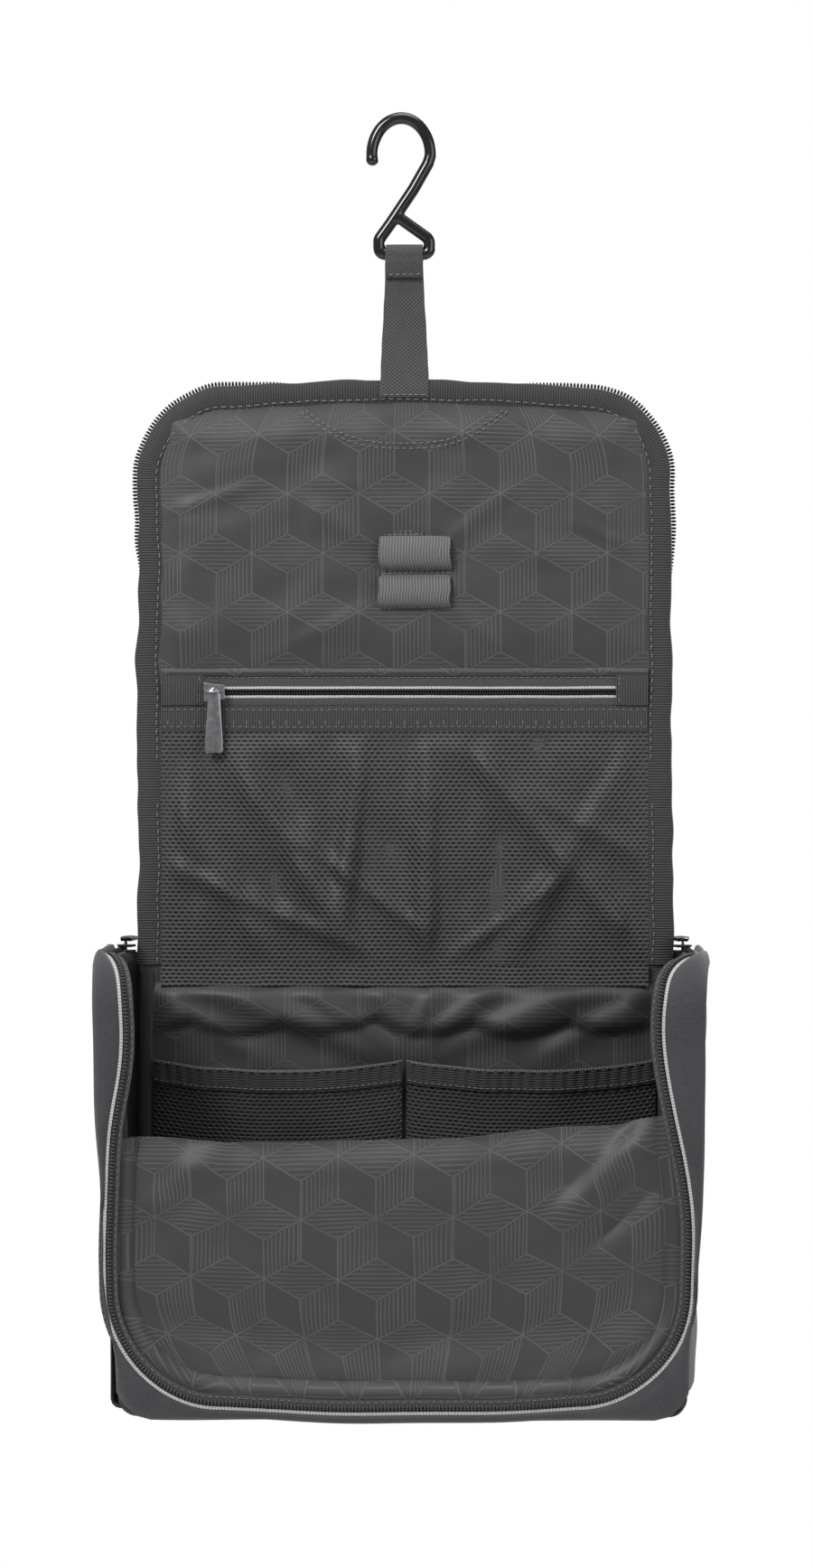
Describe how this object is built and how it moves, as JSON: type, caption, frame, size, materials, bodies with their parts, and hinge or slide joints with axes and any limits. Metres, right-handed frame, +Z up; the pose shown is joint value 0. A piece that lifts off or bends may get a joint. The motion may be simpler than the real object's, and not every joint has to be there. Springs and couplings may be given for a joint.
{
  "type": "hanging toiletry bag",
  "caption": "Soft box-shaped wash bag hung open by its hook, with a padded fold-down lid, mesh and elastic pockets, toothbrush loops and zips.",
  "frame": {"origin": "the hook's saddle, the point inside the top of the bend that rests on a rail", "axes": "+Z up as the bag hangs, +X to the right seen from the open side, -Y towards whoever faces the open bag"},
  "size_m": [0.272, 0.1116, 0.5936],
  "materials": {
    "hook_plastic": "glossy black moulded plastic",
    "webbing": "plain woven grey polypropylene webbing",
    "outer_fabric": "fine melange dark grey polyester",
    "lining_fabric": "smooth dark grey lining printed with fine lighter lines",
    "foam": "thin padding foam, hidden",
    "board": "stiffening sheet, hidden",
    "grosgrain": "ribbed dark binding tape",
    "zip_tape": "herringbone zip tape with a pale edge stripe",
    "zip_coil": "black nylon coil",
    "elastic": "ribbed grey elastic",
    "mesh_fabric": "black warp-knit mesh with small holes",
    "slider_metal": "dark nickel-plated die casting"
  },
  "bodies": {
    "hook": {"hook": "hook_plastic"},
    "strap": {"strap_webbing": "webbing"},
    "lid_front": {"strap_end": "webbing", "lid_front_lining": "lining_fabric", "lid_front_foam": "foam", "lid_front_shell": "outer_fabric", "lid_front_binding": "grosgrain", "lid_front_zip_tape": "zip_tape", "lid_front_zip_coil": "zip_coil", "half_moon_patch": "outer_fabric", "toothbrush_loops": "elastic", "pocket_zip_tape_upper": "zip_tape", "pocket_zip_tape_lower": "zip_tape", "pocket_zip_coil_upper": "zip_coil", "pocket_zip_coil_lower": "zip_coil", "pocket_zip_tab_left": "outer_fabric", "pocket_zip_tab_right": "outer_fabric", "pocket_top_band": "grosgrain", "mesh_pocket_front": "mesh_fabric"},
    "pocket_slider": {"pocket_slider": "slider_metal"},
    "pocket_pull": {"pocket_pull": "slider_metal"},
    "lid_top": {"lid_top_lining": "lining_fabric", "lid_top_foam": "foam", "lid_top_shell": "outer_fabric", "mesh_pocket_top": "mesh_fabric", "lid_top_binding_left": "grosgrain", "lid_top_binding_right": "grosgrain", "lid_top_zip_tape_left": "zip_tape", "lid_top_zip_tape_right": "zip_tape", "lid_top_zip_coil_left": "zip_coil", "lid_top_zip_coil_right": "zip_coil"},
    "box": {"back_panel": "outer_fabric", "back_board": "board", "back_lining": "lining_fabric", "side_panel_left": "outer_fabric", "side_panel_right": "outer_fabric", "side_lining_left": "lining_fabric", "side_lining_right": "lining_fabric", "bottom_panel": "outer_fabric", "bottom_board": "board", "bottom_lining": "lining_fabric", "front_margin": "outer_fabric", "box_zip_tape": "zip_tape", "box_zip_coil": "zip_coil", "front_wall_face": "lining_fabric", "front_wall_foam": "foam", "front_wall_inside": "lining_fabric", "box_pocket_left": "mesh_fabric", "box_pocket_right": "mesh_fabric", "pocket_elastic_left": "elastic", "pocket_elastic_right": "elastic", "seam_tape_left": "grosgrain", "seam_tape_right": "grosgrain"},
    "main_slider_left": {"main_slider_left": "slider_metal"},
    "main_pull_left": {"main_pull_left": "slider_metal"},
    "main_slider_right": {"main_slider_right": "slider_metal"},
    "main_pull_right": {"main_pull_right": "slider_metal"}
  },
  "joints": [
    {"name": "hook_pivot", "type": "hinge", "parent": "hook", "child": "strap", "pos_m": [0, 0, -0.0605], "axis": [1, 0, 0], "range_deg": [-90, 90]},
    {"name": "strap_fold", "type": "hinge", "parent": "strap", "child": "lid_front", "pos_m": [0, 0, -0.1141], "axis": [1, 0, 0], "range_deg": [-90, 90]},
    {"name": "lid_fold", "type": "hinge", "parent": "lid_front", "child": "lid_top", "pos_m": [0, 0.00075, -0.304], "axis": [-1, 0, 0], "range_deg": [0, 90]},
    {"name": "lid_hinge", "type": "hinge", "parent": "lid_top", "child": "box", "pos_m": [0, 0.00075, -0.391], "axis": [-1, 0, 0], "range_deg": [0, 90]},
    {"name": "pocket_zip", "type": "slide", "parent": "lid_front", "child": "pocket_slider", "axis": [1, 0, 0], "range_m": [0, 0.18]},
    {"name": "pocket_pull_swing", "type": "hinge", "parent": "pocket_slider", "child": "pocket_pull", "pos_m": [-0.0884, -0.00405, -0.264], "axis": [-1, 0, 0], "range_deg": [0, 170]},
    {"name": "main_zip_left", "type": "slide", "parent": "box", "child": "main_slider_left", "axis": [0, -1, 0], "range_m": [0, 0.054]},
    {"name": "main_pull_swing_left", "type": "hinge", "parent": "main_slider_left", "child": "main_pull_left", "pos_m": [-0.1289, -0.01025, -0.37885], "axis": [1, 0, 0], "range_deg": [0, 170]},
    {"name": "main_zip_right", "type": "slide", "parent": "box", "child": "main_slider_right", "axis": [0, -1, 0], "range_m": [0, 0.054]},
    {"name": "main_pull_swing_right", "type": "hinge", "parent": "main_slider_right", "child": "main_pull_right", "pos_m": [0.1289, -0.01025, -0.37885], "axis": [1, 0, 0], "range_deg": [0, 170]}
  ]
}
